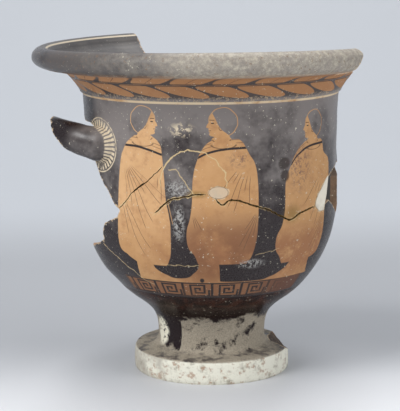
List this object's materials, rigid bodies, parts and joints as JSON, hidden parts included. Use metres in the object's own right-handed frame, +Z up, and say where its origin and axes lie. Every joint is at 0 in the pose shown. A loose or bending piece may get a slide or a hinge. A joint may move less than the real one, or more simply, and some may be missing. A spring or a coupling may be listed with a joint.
{
  "type": "bell krater",
  "caption": "Broken and mended wide-mouthed clay mixing bowl on a stemmed disc foot, with much of its back, lip and handles lost and light plaster fills in its wall.",
  "frame": {"origin": "the centre of the circle the foot stands on, on the bowl's turning axis, at the plane of the foot's underside", "axes": "+Z up along the bowl's turning axis; -Y towards the painted front; +X to the right of the front, where the lip breaks off short"},
  "size_m": [0.3256, 0.3355, 0.3369],
  "materials": {
    "fired_clay": null,
    "plaster": null
  },
  "bodies": {
    "root": {"krater": "fired_clay", "plaster_side_fill": "plaster", "plaster_oval_fill": "plaster"}
  },
  "joints": []
}
